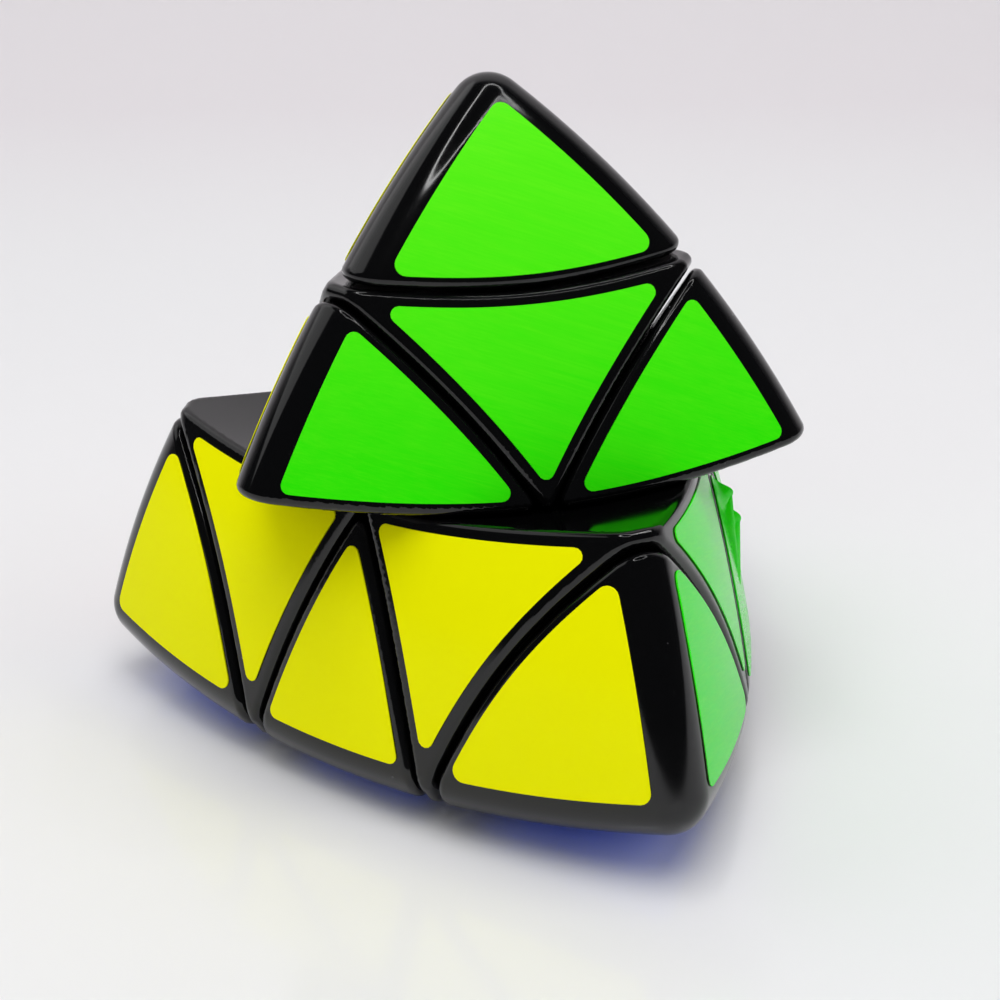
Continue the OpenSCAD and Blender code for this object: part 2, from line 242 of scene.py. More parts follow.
@dataclass(frozen=True)
class PyramidForm:
    """The faces and cuts that shape every shell and sticker, in millimetres.

    Attributes:
        face_mid: Distance from the core's centre to the middle of a face.
        face_radius: Radius of the pillowed faces.
        edge_rounding: Radius of the six long edges and four corners.
        cut_rounding: Radius of the edges along the cuts.
        layer_cut: Height at which a layer's cut meets its corner's axis.
        layer_slope: Rise of a layer's cut for each millimetre away from the axis.
        tip_cut: Height at which a tip's cut meets its corner's axis.
        tip_slope: Rise of a tip's cut for each millimetre away from the axis.
        gap: Gap between neighbouring pieces.
        wall: Wall thickness of the shells.
        lid: Thickness of the lid between a centre piece and its tip.
        layer_turn: Angle the top layer is turned by, in degrees.
        tip_turn: Further angle the top tip is turned by, in degrees.
    """

    face_mid: float = 28.0
    face_radius: float = 191.0
    edge_rounding: float = 5.0
    cut_rounding: float = 1.0
    layer_cut: float = 3.5
    layer_slope: float = 0.2285
    tip_cut: float = 30.48
    tip_slope: float = 0.1822
    gap: float = 0.4
    wall: float = 1.8
    lid: float = 2.0
    layer_turn: float = -69.21
    tip_turn: float = 2.96

    @property
    def half_gap(self) -> float:
        """Half of the gap, as a rise of a cut along its axis."""
        return self.gap / 2 * math.hypot(1.0, self.layer_slope)

    @property
    def ball_offset(self) -> float:
        """Distance from the core's centre to the centre of a face's sphere."""
        return self.face_radius - self.face_mid

    def face(self, points: Array, corner: Corner) -> Skin:
        """The pillowed face opposite a corner."""
        spokes = points - self.ball_offset * corner.axis
        reach = np.linalg.norm(spokes, axis=1)
        return Skin(reach - self.face_radius, spokes / reach[:, None])

    def below(self, points: Array, corner: Corner, foot: float, slope: float) -> Skin:
        """The space below a conical cut.

        Args:
            points: The points to measure.
            corner: Whose axis the cone stands on.
            foot: Height of the cone's point on that axis.
            slope: Rise of the cone for each millimetre away from the axis.

        Returns:
            The skin of the space on the core's side of the cut.
        """
        height = points @ corner.axis
        aside = points - height[:, None] * corner.axis
        radius = np.maximum(np.linalg.norm(aside, axis=1), TINY)
        scale = math.hypot(1.0, slope)
        depth = (height - foot - slope * radius) / scale
        return Skin(depth, (corner.axis - slope * aside / radius[:, None]) / scale)

    def below_layer(self, points: Array, corner: Corner, rise: float) -> Skin:
        """The space below a corner's layer cut, raised by rise."""
        return self.below(points, corner, self.layer_cut + rise, self.layer_slope)

    def below_tip(self, points: Array, corner: Corner, rise: float) -> Skin:
        """The space below a corner's tip cut, raised by rise."""
        return self.below(points, corner, self.tip_cut + rise, self.tip_slope)

    def ball(self, points: Array, radius: float) -> Skin:
        """A ball about the core's centre."""
        reach = np.maximum(np.linalg.norm(points, axis=1), TINY)
        return Skin(reach - radius, points / reach[:, None])

    def hull(self, points: Array, faces: Sequence[Corner], inset: float) -> Skin:
        """The rounded outside of the pyramid near the given faces, drawn in by inset."""
        skins = [self.face(points, corner).drawn_in(inset) for corner in faces]
        return meet(skins, self.edge_rounding - inset)

    def turn_of(self, is_top_layer: bool, is_top_tip: bool = False) -> Array:
        """The turn about +Z of a piece that sits in the top layer or in the top tip."""
        degrees = self.layer_turn * is_top_layer + self.tip_turn * is_top_tip
        return about_z(degrees)


# ---- Meshes --------------------------------------------------------------------------------------


@dataclass(frozen=True)
class Sheet:
    """A mesh in millimetres with its own normals.

    Attributes:
        points: The vertices.
        faces: Each face as the numbers of its vertices.
        normals: The normal at each vertex.
    """

    points: Array
    faces: list[list[int]]
    normals: Array

    def turned(self, rotation: Array) -> Sheet:
        """The same mesh turned about the core's centre."""
        return Sheet(self.points @ rotation.T, self.faces, self.normals @ rotation.T)


def joined(sheets: Sequence[Sheet]) -> Sheet:
    """Puts several meshes into one.

    Args:
        sheets: The meshes.

    Returns:
        One mesh with all of their faces.
    """
    faces: list[list[int]] = []
    start = 0
    for sheet in sheets:
        faces += [[start + corner for corner in face] for face in sheet.faces]
        start += len(sheet.points)
    points = np.concatenate([sheet.points for sheet in sheets])
    normals = np.concatenate([sheet.normals for sheet in sheets])
    return Sheet(points, faces, normals)


@dataclass(frozen=True)
class Mesher:
    """Draws the skin of a space as a mesh of even quads that lie on it.

    Attributes:
        step: Width of a quad in millimetres.
        settling: How many times each vertex is moved on to the skin.
    """

    step: float = 0.55
    settling: int = 8

    def mesh(self, shape: Callable[[Array], Skin], low: Array, high: Array) -> Sheet:
        """Meshes the skin of a space.

        Args:
            shape: Gives the skin for an array of points.
            low: Lowest corner of a box round the space.
            high: Highest corner of that box.

        Returns:
            The closed mesh.
        """
        room = 2 * self.step
        lines = [np.arange(a - room, b + room, self.step) for a, b in zip(low, high)]
        lattice = np.stack(np.meshgrid(*lines, indexing="ij"), axis=-1)
        depth = shape(lattice.reshape(-1, 3)).depth.reshape(lattice.shape[:3])
        total = np.zeros([count - 1 for count in depth.shape] + [3])
        tally = np.zeros(total.shape[:3])
        crossings = [self._crossings(lattice, depth, axis) for axis in range(3)]
        for axis, (crossed, places) in enumerate(crossings):
            for window in self._neighbours(axis, depth.shape):
                total += places[window]
                tally += crossed[window]
        used = tally > 0
        number = np.full(used.shape, -1)
        number[used] = np.arange(used.sum())
        points = total[used] / tally[used][:, None]
        faces = [
            self._quads(depth, crossed, number, axis) for axis, (crossed, _) in enumerate(crossings)
        ]
        for _ in range(self.settling):
            skin = shape(points)
            points = points - skin.depth[:, None] * skin.outward
        return Sheet(points, np.concatenate(faces).tolist(), shape(points).outward)

    def _crossings(self, lattice: Array, depth: Array, axis: int) -> tuple[Array, Array]:
        """Finds where the skin crosses the lattice lines along one axis.

        Args:
            lattice: The lattice's points.
            depth: Their depths.
            axis: The axis that the lines run along.

        Returns:
            Which steps are crossed, and where, with zeros at the others.
        """
        near = np.moveaxis(depth, axis, 0)
        first, second = near[:-1], near[1:]
        crossed = (first < 0) != (second < 0)
        share = np.where(crossed, first / np.where(crossed, first - second, 1.0), 0.0)
        places = np.moveaxis(lattice, axis, 0)[:-1].copy()
        places[..., axis] += share * self.step
        places[~crossed] = 0.0
        return np.moveaxis(crossed, 0, axis), np.moveaxis(places, 0, axis)

    def _neighbours(self, axis: int, shape: Sequence[int]) -> list[tuple[slice, ...]]:
        """Slices that line up each cell with its four lattice steps along one axis.

        Args:
            axis: The axis that the steps run along.
            shape: The number of lattice points each way.

        Returns:
            One slice for each axis, for each of the four steps.
        """
        windows = []
        lengths = [shape[other] - 1 for other in range(3) if other != axis]
        for offsets in itertools.product((0, 1), repeat=2):
            window = [slice(offset, offset + length) for offset, length in zip(offsets, lengths)]
            window.insert(axis, slice(None))
            windows.append(tuple(window))
        return windows

    def _quads(self, depth: Array, crossed: Array, number: Array, axis: int) -> Array:
        """Makes a quad round each crossed lattice step along one axis.

        Args:
            depth: The lattice's depths.
            crossed: Which steps are crossed.
            number: The number of each cell's vertex.
            axis: The axis that the steps run along.

        Returns:
            The quads, one row each, facing out.
        """
        place = np.argwhere(crossed)
        u, v = np.eye(3, dtype=int)[(axis + 1) % 3], np.eye(3, dtype=int)[(axis + 2) % 3]
        ring = [number[tuple((place - shift).T)] for shift in (u + v, v, 0 * u, u)]
        quads = np.stack(ring, axis=1)
        enters = depth[tuple(place.T)] > 0
        quads[enters] = quads[enters][:, ::-1]
        return quads


@dataclass(frozen=True)
class Fitter:
    """Puts finished meshes into the frame.

    Attributes:
        core_height: Height of the core's centre above the floor, in metres.
    """

    core_height: float

    def fit(
        self,
        name: str,
        sheet: Sheet,
        material: bpy.types.Material,
        node: str,
        slot: str,
    ) -> bpy.types.Object:
        """Makes one piece, dresses it and lets it stand for its node.

        Args:
            name: The piece's name.
            sheet: Its mesh in millimetres from the core's centre.
            material: Its material.
            node: The frame's node that it stands for, whose body it rides on.
            slot: A material slot's name; not used.

        Returns:
            The new piece.
        """
        data = bpy.data.meshes.new(name)
        places = sheet.points * MM + np.array([0.0, 0.0, self.core_height])
        data.from_pydata(places.tolist(), [], sheet.faces)
        data.validate()
        data.normals_split_custom_set_from_vertices(sheet.normals.tolist())
        data.materials.append(material)
        piece = bpy.data.objects.new(name, data)
        bpy.context.scene.collection.objects.link(piece)
        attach(piece, frame["nodes"][node]["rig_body"])
        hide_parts(node)
        LOG.info("%s: %d vertices", name, len(data.vertices))
        return piece


# ---- Finishes ------------------------------------------------------------------------------------


class Value:
    """A number that varies over a surface: a socket whose operators add Math nodes."""

    def __init__(self, graph: Graph, socket: bpy.types.NodeSocket) -> None:
        """Wraps a socket of a graph's node."""
        self.graph = graph
        self.socket = socket

    def __add__(self, other: Value | float) -> Value:
        """self + other."""
        return self.graph.maths("ADD", self, other)

    def __sub__(self, other: Value | float) -> Value:
        """self - other."""
        return self.graph.maths("SUBTRACT", self, other)

    def __mul__(self, other: Value | float) -> Value:
        """self * other."""
        return self.graph.maths("MULTIPLY", self, other)

    __radd__ = __add__


class Graph:
    """The shader nodes of one material or world."""

    def __init__(self, owner: bpy.types.Material | bpy.types.World) -> None:
        """Takes a material or world and empties its nodes."""
        self.owner = owner
        self.owner.use_nodes = True
        self.tree = self.owner.node_tree
        self.tree.nodes.clear()

    @classmethod
    def of_material(cls, name: str) -> Graph:
        """The graph of a new material."""
        return cls(bpy.data.materials.new(name))

    def node(
        self,
        kind: str,
        output: str | None,
        settings: dict[str, Any],
        inputs: dict[str, Any],
    ) -> Value | None:
        """Adds a node.

        Args:
            kind: The node's type, without the words that all shader nodes share.
            output: Identifier of the socket that is wanted from it, or None for an output node.
            settings: Its properties, or "stops" for a ramp's positions and colours.
            inputs: Numbers, colours or values for its sockets, by identifier.

        Returns:
            The wanted socket, if any.
        """
        made = self.tree.nodes.new("ShaderNode" + kind)
        for key, choice in settings.items():
            if key == "stops":
                self._set_stops(made.color_ramp, choice)
            else:
                setattr(made, key, choice)
        for key, feed in inputs.items():
            socket = next(one for one in made.inputs if one.identifier == key)
            if isinstance(feed, Value):
                self.tree.links.new(feed.socket, socket)
            else:
                socket.default_value = feed
        if output is None:
            return None
        return Value(self, next(one for one in made.outputs if one.identifier == output))

    @staticmethod
    def _set_stops(ramp: bpy.types.ColorRamp, stops: Sequence[tuple[float, float]]) -> None:
        """Gives a ramp its stops, each a position and a grey level.

        Args:
            ramp: The ramp.
            stops: The positions and levels, from low to high.
        """
        while len(ramp.elements) < len(stops):
            ramp.elements.new(1.0)
        for element, (position, level) in zip(ramp.elements, stops):
            element.position = position
            element.color = (level, level, level, 1.0)

    def maths(self, operation: str, first: Value | float, second: Value | float) -> Value:
        """Adds a Math node on two numbers."""
        sides = {"Value": first, "Value_001": second}
        return self.node("Math", "Value", {"operation": operation}, sides)

    def place(self) -> Value:
        """The point of the surface, in metres in the piece's own frame."""
        return self.node("TexCoord", "Object", {}, {})

    def height(self) -> Value:
        """How high the point lies in the piece's own frame, in metres."""
        return self.node("SeparateXYZ", "Z", {}, {"Vector": self.place()})

    def dot(self, vector: Value, along: Sequence[float]) -> Value:
        """The length of a vector along a direction."""
        inputs = {"Vector": vector, "Vector_001": along}
        return self.node("VectorMath", "Value", {"operation": "DOT_PRODUCT"}, inputs)

    def stretched(self, along: Vector, shrink: float) -> Value:
        """The point of the surface with one direction shrunk, so that a texture runs along it.

        Args:
            along: The direction, as a unit vector.
            shrink: What lengths along it are multiplied by.

        Returns:
            The changed point.
        """
        place = self.place()
        excess = self.dot(place, along) * (1.0 - shrink)
        inputs = {"Vector": along, "Scale": excess}
        part = self.node("VectorMath", "Vector", {"operation": "SCALE"}, inputs)
        sides = {"Vector": place, "Vector_001": part}
        return self.node("VectorMath", "Vector", {"operation": "SUBTRACT"}, sides)

    def noise(self, where: Value, scale: float, detail: float, roughness: float = 0.5) -> Value:
        """Adds a noise texture and gives its level from 0 to 1."""
        inputs = {"Vector": where, "Scale": scale, "Detail": detail, "Roughness": roughness}
        return self.node("TexNoise", "Fac", {}, inputs)

    def ramp(self, level: Value, stops: Sequence[tuple[float, float]]) -> Value:
        """Reshapes a level with a grey ramp."""
        return self.node("ValToRGB", "Color", {"stops": stops}, {"Fac": level})

    def mix(self, share: Value, first: Colour | Value, second: Colour | Value) -> Value:
        """Mixes two colours."""
        sides = {"A_Color": first, "B_Color": second}
        inputs = {
            key: (*side, 1.0) if isinstance(side, tuple) else side for key, side in sides.items()
        }
        inputs["Factor_Float"] = share
        return self.node("Mix", "Result_Color", {"data_type": "RGBA"}, inputs)

    def bump(self, height: Value, strength: float, distance: float) -> Value:
        """Adds a bump of the given strength and distance in metres."""
        inputs = {"Height": height, "Strength": strength, "Distance": distance}
        return self.node("Bump", "Normal", {}, inputs)

    def surface(self, inputs: dict[str, Any]) -> bpy.types.Material:
        """Ends the material with a Principled shader."""
        return self.finished(self.node("BsdfPrincipled", "BSDF", {}, inputs))

    def finished(self, shader: Value) -> bpy.types.Material | bpy.types.World:
        """Links a shader to the output and gives back the material or world."""
        kind = "OutputWorld" if isinstance(self.owner, bpy.types.World) else "OutputMaterial"
        self.node(kind, None, {}, {"Surface": shader})
        return self.owner


@dataclass(frozen=True)
class PolishedPlastic:
    """Polished black moulded plastic with fine dust and faint handling marks.

    Attributes:
        name: The material's name.
        colour: The plastic's colour.
        dust_colour: The colour of the dust.
        gloss: The roughness of a clean, unworn spot.
        smear: How much rougher handled spots are.
        dust_scale: How close together the dust lies, in specks a metre.
    """

    name: str = "polished_black_plastic"
    colour: Colour = (0.0012, 0.0012, 0.0014)
    dust_colour: Colour = (0.16, 0.16, 0.17)
    gloss: float = 0.07
    smear: float = 0.10
    dust_scale: float = 420.0

    def material(self) -> bpy.types.Material:
        """Builds the material."""
        graph = Graph.of_material(self.name)
        place = graph.place()
        handling = graph.ramp(graph.noise(place, 55.0, 4.0, 0.6), [(0.42, 0.0), (0.72, 1.0)])
        cells = graph.node(
            "TexVoronoi", "Distance", {"feature": "F1"}, {"Vector": place, "Scale": self.dust_scale}
        )
        speck = graph.ramp(cells, [(0.05, 1.0), (0.09, 0.0)])
        sparse = graph.ramp(graph.noise(place, 160.0, 2.0), [(0.60, 0.0), (0.66, 1.0)])
        dust = speck * sparse
        ripple = graph.noise(place, 70.0, 2.0)
        return graph.surface(
            {
                "Base Color": graph.mix(dust, self.colour, self.dust_colour),
                "Roughness": self.gloss + handling * self.smear + dust * 0.4,
                "IOR": 1.5,
                "Normal": graph.bump(ripple, 0.12, 0.0002),
            }
        )


@dataclass(frozen=True)
class VinylFilm:
    """Glossy vinyl film, finely scratched one way, with a dark back, and painted lighter towards the
    puzzle's top as a sheen of the overhead light.

    Attributes:
        name: The material's name.
        colour: The film's colour.
        light: Its colour in the scratches, and the colour of the painted sheen towards the top.
        along: The direction of the scratches.
        out: The direction the film faces.
        scratched: From 0 to 1, how much of the lighter colour the scratches show.
        faded: From 0 to 1, how much of the lighter colour is painted on the puzzle's top as a sheen.
        gloss: The roughness between scratches.
        index: The film's refractive index, which sets how much it mirrors.
        backing: The colour of the film's back.
        stretch: How much shorter the scratches' texture is made along them.
        fade_run: The heights where the painted sheen starts and where it is full, in metres.
    """

    name: str
    colour: Colour
    light: Colour
    along: tuple[float, float, float]
    out: tuple[float, float, float]
    scratched: float
    faded: float
    gloss: float
    index: float
    backing: Colour = (0.035, 0.045, 0.012)
    stretch: float = 0.035
    fade_run: tuple[float, float] = (0.035, 0.088)

    def material(self) -> bpy.types.Material:
        """Builds the material."""
        graph = Graph.of_material(self.name)
        run = graph.stretched(Vector(self.along), self.stretch)
        fine = graph.ramp(graph.noise(run, 4200.0, 3.0, 0.6), [(0.42, 0.0), (0.74, 1.0)])
        broad = graph.ramp(graph.noise(run, 900.0, 3.0, 0.65), [(0.38, 0.0), (0.78, 1.0)])
        cloud = graph.noise(graph.place(), 60.0, 2.0)
        streak = fine * 0.55 + broad * 0.45
        # Painted highlight: the film is painted lighter towards the puzzle's top, standing in for the
        # overhead light's sheen; the scratches are the film's own wear.
        low, high = self.fade_run
        level = graph.height() + cloud * 0.01
        limits = {"Value": level, "From Min": low, "From Max": high}
        top_sheen_mask = graph.node("MapRange", "Result", {}, limits)
        scratch_and_sheen = streak * self.scratched * 0.5 + top_sheen_mask * self.faded
        facing = graph.dot(graph.node("TexCoord", "Normal", {}, {}), self.out)
        is_back = graph.maths("LESS_THAN", facing, 0.0)
        front = graph.mix(scratch_and_sheen, self.colour, self.light)
        return graph.surface(
            {
                "Base Color": graph.mix(is_back, front, self.backing),
                "Roughness": self.gloss + streak * (0.18 * self.scratched) + cloud * 0.05,
                "IOR": self.index,
                "Normal": graph.bump(streak * self.scratched + cloud * 0.3, 0.06, 0.00004),
            }
        )


@dataclass(frozen=True)
class MouldedPlastic:
    """Plain moulded plastic with a fine satin grain.

    Attributes:
        name: The material's name.
        colour: The plastic's colour.
        worn: Its colour where it has been rubbed.
        roughness: Its mean roughness.
    """

    name: str
    colour: Colour
    worn: Colour
    roughness: float

    def material(self) -> bpy.types.Material:
        """Builds the material."""
        graph = Graph.of_material(self.name)
        place = graph.place()
        grain = graph.noise(place, 2600.0, 2.0)
        rubbed = graph.ramp(graph.noise(place, 140.0, 4.0, 0.6), [(0.45, 0.0), (0.7, 1.0)])
        return graph.surface(
            {
                "Base Color": graph.mix(rubbed, self.colour, self.worn),
                "Roughness": self.roughness + grain * 0.12 - rubbed * 0.08,
                "IOR": 1.5,
                "Normal": graph.bump(grain, 0.15, 0.00003),
            }
        )


@dataclass(frozen=True)
class PlatedSteel:
    """Zinc-plated steel, turned and lightly scuffed.

    Attributes:
        name: The material's name.
        colour: The plating's colour.
        dull: Its colour where it has dulled.
    """

    name: str = "plated_steel"
    colour: Colour = (0.62, 0.63, 0.65)
    dull: Colour = (0.36, 0.37, 0.38)

    def material(self) -> bpy.types.Material:
        """Builds the material."""
        graph = Graph.of_material(self.name)
        place = graph.place()
        scuff = graph.ramp(graph.noise(place, 900.0, 4.0, 0.7), [(0.4, 0.0), (0.75, 1.0)])
        return graph.surface(
            {
                "Base Color": graph.mix(scuff, self.colour, self.dull),
                "Metallic": 1.0,
                "Roughness": 0.24 + scuff * 0.22,
                "Normal": graph.bump(scuff, 0.1, 0.00003),
            }
        )


# ---- Shells --------------------------------------------------------------------------------------


@dataclass
class Shell:
    """What the three kinds of outer shell share.

    Attributes:
        form: The pyramid's faces and cuts.
        mesher: Draws the shells' skins.
        fitter: Puts them into the frame.
        material: The polished plastic.
        rim_rounding: Rounding of the edges round a shell's opening, in millimetres.
    """

    form: PyramidForm
    mesher: Mesher
    fitter: Fitter
    material: bpy.types.Material
    rim_rounding: float = 0.25

    def skin(self, points: Array) -> Skin:
        """The skin of the shell where it is drawn."""
        raise NotImplementedError

    def fit_shell(self, name: str, node: str, sheet: Sheet, rotation: Array) -> None:
        """Turns the drawn shell to its place and fits it."""
        self.fitter.fit(name, sheet.turned(rotation), self.material, node, "black_plastic")

    def drawn(self, node: str) -> Sheet:
        """Meshes the shell inside a box as wide as a node is about the top corner's axis.

        Args:
            node: The node of the shell in the top corner.

        Returns:
            The closed mesh.
        """
        low, high = np.array(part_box(node)) / MM
        lift = self.fitter.core_height / MM
        reach = max(math.hypot(x, y) for x in (low[0], high[0]) for y in (low[1], high[1]))
        start = np.array([-reach, -reach, low[2] - lift])
        end = np.array([reach, reach, high[2] - lift])
        return self.mesher.mesh(self.skin, start, end)


@dataclass
class TipShells(Shell):
    """The four small corner shells."""

    def skin(self, points: Array) -> Skin:
        """A hollow corner, open towards its cut.

        Args:
            points: The points to measure.

        Returns:
            The skin of the shell.
        """
        form = self.form
        outside = form.hull(points, LOWER, 0.0)
        cut = -form.below_tip(points, Corner.TOP, form.half_gap)
        block = meet([outside, cut], form.cut_rounding)
        hollow = form.hull(points, LOWER, form.wall)
        return meet([block, -hollow], self.rim_rounding)

    def build(self) -> None:
        """Makes the four tips' shells."""
        sheet = self.drawn("tip_cap_top")
        for corner in Corner:
            turn = self.form.turn_of(corner is Corner.TOP, corner is Corner.TOP)
            place = turn @ turned_to(corner, corner.partner)
            self.fit_shell(f"tip_shell_{corner.word}", f"tip_cap_{corner.word}", sheet, place)


@dataclass
class CentreShells(Shell):
    """The four centre pieces' shells, each under a tip.

    Attributes:
        core_clearance: Radius about the core that the shells stay out of, in millimetres.
        bore: Radius of the bore in the lid for the tip's stem, in millimetres.
    """

    core_clearance: float = 15.05
    bore: float = 4.75

    def skin(self, points: Array) -> Skin:
        """Three faces, three cut walls and a lid with a bore, open towards the core.

        Args:
            points: The points to measure.

        Returns:
            The skin of the shell.
        """
        form = self.form
        gap = form.half_gap
        outside = form.hull(points, LOWER, 0.0)
        walls = [form.below_layer(points, corner, -gap) for corner in LOWER]
        lid = form.below_tip(points, Corner.TOP, -gap)
        floor = -form.below_layer(points, Corner.TOP, gap)
        core = -form.ball(points, self.core_clearance)
        block = meet([outside, *walls, lid, floor, core], form.cut_rounding)
        hollow = meet(
            [
                form.hull(points, LOWER, form.wall),
                *(wall.drawn_in(form.wall) for wall in walls),
                lid.drawn_in(form.lid),
                -form.ball(points, self.core_clearance - form.wall),
            ],
            self.rim_rounding,
        )
        aside = np.maximum(np.linalg.norm(points[:, :2], axis=1), TINY)
        spokes = np.column_stack([points[:, :2] / aside[:, None], np.zeros(len(points))])
        bore = Skin(aside - self.bore, spokes)
        return meet([block, -hollow, -bore], self.rim_rounding)

    def build(self) -> None:
        """Makes the four centre pieces' shells."""
        sheet = self.drawn("axial_cap_top")
        for corner in Corner:
            turn = self.form.turn_of(corner is Corner.TOP)
            place = turn @ turned_to(corner, corner.partner)
            self.fit_shell(f"centre_shell_{corner.word}", f"axial_cap_{corner.word}", sheet, place)


@dataclass
class EdgeShells(Shell):
    """The six edge pieces' shells.

    Attributes:
        neck_clearance: Radius about the core that the shells stay out of, in millimetres.
    """

    neck_clearance: float = 17.0

    def skin(self, points: Array) -> Skin:
        """Two faces and two cut walls between the left and right corners, open towards the core.

        Args:
            points: The points to measure.

        Returns:
            The skin of the shell.
        """
        form = self.form
        sides = (Corner.TOP, Corner.BACK)
        ends = (Corner.LEFT, Corner.RIGHT)
        outside = form.hull(points, sides, 0.0)
        walls = [-form.below_layer(points, corner, form.half_gap) for corner in ends]
        stops = [form.below_tip(points, corner, -form.half_gap) for corner in ends]
        neck = -form.ball(points, self.neck_clearance)
        block = meet([outside, *walls, *stops, neck], form.cut_rounding)
        drawn = [skin.drawn_in(form.wall) for skin in (*walls, *stops)]
        hollow = meet([form.hull(points, sides, form.wall), *drawn], self.rim_rounding)
        return meet([block, -hollow], self.rim_rounding)

    def drawn_here(self) -> Sheet:
        """Meshes the shell between the left and right corners, where one of the nodes lies."""
        low, high = np.array(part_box("edge_cap_left_right")) / MM
        lift = np.array([0.0, 0.0, self.fitter.core_height / MM])
        return self.mesher.mesh(self.skin, low - lift, high - lift)

    def build(self) -> None:
        """Makes the six edge pieces' shells."""
        sheet = self.drawn_here()
        for pair in EDGES:
            far = [corner for corner in Corner if corner not in pair]
            turn = self.form.turn_of(Corner.TOP in pair)
            words = "_".join(corner.word for corner in pair)
            self.fit_shell(f"edge_shell_{words}", f"edge_cap_{words}", sheet, turn @ turned_to(*far))


# ---- Stickers ------------------------------------------------------------------------------------


class Patch(Enum):
    """The three kinds of sticker on a face."""

    TIP = "tip"
    CENTRE = "centre"
    EDGE = "edge"


@dataclass
class Stickers:
    """The coloured films on the faces.

    They are drawn on the front face, which is opposite the back corner.

    Attributes:
        form: The pyramid's faces and cuts.
        fitter: Puts the stickers into the frame.
        glue: Thickness of the glue line, in millimetres.
        thickness: Thickness of the film, in millimetres.
        bevel: Width of the film's soft cut edge, in millimetres.
        tip_border: Border between a sticker and a tip's cut, along the corner's axis.
        centre_border: Border between a centre's sticker and a layer's cut.
        edge_border: Border between an edge's sticker and a layer's cut.
        long_border: Border between a sticker and the plane through a long edge.
        roundings: Radius of each kind of sticker's corners, in millimetres.
        rays: How many points each outline has.
        rings: How many rings of faces each sticker has.
        half_span: Half of the angle that the face spans from its sphere's middle, in radians.
        farthest: An angle that no sticker reaches from its own centre, in radians.
        halvings: How many times the search for an outline point halves its span.
        curl_height: How far the worn sticker's side stands off its face, in millimetres.
        curl_width: Width of the part that has come unstuck.
        curl_start: Distance from the sticker's point to the start of that part.
        curl_run: Length of that part.
        sheets: The stickers drawn so far.
    """

    form: PyramidForm
    fitter: Fitter
    glue: float = 0.02
    thickness: float = 0.18
    bevel: float = 0.05
    tip_border: float = 1.70
    centre_border: float = 1.85
    edge_border: float = 1.82
    long_border: float = 3.56
    roundings: dict[Patch, float] = field(
        default_factory=lambda: {Patch.TIP: 1.4, Patch.CENTRE: 1.0, Patch.EDGE: 1.05}
    )
    rays: int = 180
    rings: int = 6
    half_span: float = 0.25
    farthest: float = 0.3
    halvings: int = 40
    curl_height: float = 2.3
    curl_width: float = 3.4
    curl_start: float = 1.2
    curl_run: float = 12.0
    sheets: dict[Patch, Sheet] = field(default_factory=dict)

    @property
    def middle(self) -> Array:
        """Centre of the front face's sphere."""
        return self.form.ball_offset * Corner.BACK.axis

    @property
    def apex(self) -> Array:
        """The direction of the point where the edge's two cuts meet on the front face."""
        climb = np.linspace(-self.half_span, self.half_span, 2001)[:, None]
        out = -Corner.BACK.axis
        up = np.cross(out, [1.0, 0.0, 0.0])
        line = np.cos(climb) * out - np.sin(climb) * up
        inside = self.outline_depth(line, Patch.EDGE) < 0
        heights = (line @ Corner.TOP.axis)[inside]
        return line[inside][heights.argmax()]

    def on_face(self, directions: Array, lift: float) -> Array:
        """Points over the front face, along unit directions from the middle of its sphere."""
        return self.middle + (self.form.face_radius + lift) * directions

    def side(self, points: Array, corner: Corner) -> Skin:
        """The front face's half on a corner's side, back from the long edge it doesn't touch."""
        across = corner.axis - Corner.BACK.axis
        across /= np.linalg.norm(across)
        return Skin(self.long_border - points @ across, np.tile(-across, (len(points), 1)))

    def borders(self, points: Array, kind: Patch) -> list[Skin]:
        """The three border lines of a kind of sticker, as skins in space.

        Args:
            points: The points to measure.
            kind: Which sticker.

        Returns:
            The skins, each below 0 on the sticker's side.
        """
        form = self.form
        if kind is Patch.TIP:
            cut = -form.below_tip(points, Corner.TOP, self.tip_border)
            return [cut, self.side(points, Corner.LEFT), self.side(points, Corner.RIGHT)]
        ends = (Corner.LEFT, Corner.RIGHT)
        if kind is Patch.CENTRE:
            cut = form.below_tip(points, Corner.TOP, -self.tip_border)
            return [cut] + [form.below_layer(points, end, -self.centre_border) for end in ends]
        walls = [-form.below_layer(points, end, self.edge_border) for end in ends]
        return [self.side(points, Corner.TOP)] + walls

    def outline_depth(self, directions: Array, kind: Patch) -> Array:
        """How far inside a sticker's rounded outline some directions are, below 0 inside.

        Args:
            directions: Unit vectors from the middle of the front face's sphere.
            kind: Which sticker.

        Returns:
            The depths, in millimetres.
        """
        flat = []
        for skin in self.borders(self.on_face(directions, 0.0), kind):
            along = skin.outward - (skin.outward * directions).sum(axis=1, keepdims=True) * directions
            share = np.maximum(np.linalg.norm(along, axis=1), 1e-6)
            flat.append(Skin(skin.depth / share, along / share[:, None]))
        return meet(flat, self.roundings[kind]).depth

    def centre_of(self, kind: Patch) -> Array:
        """Finds the direction deepest inside a kind of sticker.

        Args:
            kind: Which sticker.

        Returns:
            A unit vector from the middle of the front face's sphere.
        """
        spread = np.linspace(-self.half_span, self.half_span, 101)
        level, climb = np.meshgrid(spread, spread)
        out = -Corner.BACK.axis
        across = np.array([1.0, 0.0, 0.0])
        up = np.cross(out, across)
        directions = out + level.reshape(-1, 1) * across - climb.reshape(-1, 1) * up
        directions /= np.linalg.norm(directions, axis=1, keepdims=True)
        return directions[self.outline_depth(directions, kind).argmin()]

